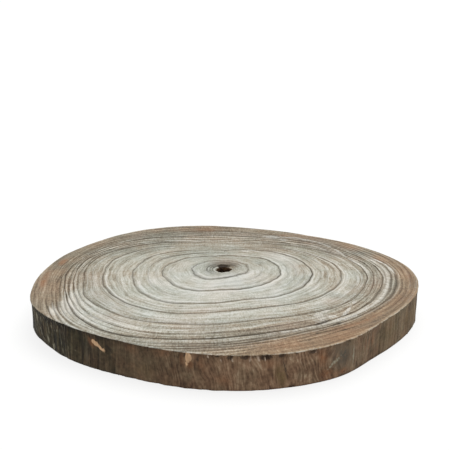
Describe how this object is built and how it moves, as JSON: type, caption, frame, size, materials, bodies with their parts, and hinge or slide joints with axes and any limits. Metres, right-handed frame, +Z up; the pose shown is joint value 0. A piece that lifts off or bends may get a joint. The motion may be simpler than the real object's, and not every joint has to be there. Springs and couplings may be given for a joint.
{
  "type": "wood slice",
  "caption": "Round debarked slab sawn across a tree trunk, with open growth rings and a hollow pith, lying flat as a stand, tray or display base.",
  "frame": {"origin": "centre of the underside's bounding rectangle, on the surface that the slice lies on", "axes": "+Z up out of the sawn face; +X along the slice's longest width; the pith lies on the +Y side of the middle"},
  "size_m": [0.352, 0.328, 0.0315],
  "materials": {
    "weathered_wood": "dry, unvarnished sawn end grain, greyed and chalky with dark ring lines and a tan rim; the side is dark brown weathered fibre"
  },
  "bodies": {
    "root": {"wood_slice": "weathered_wood"}
  },
  "joints": []
}
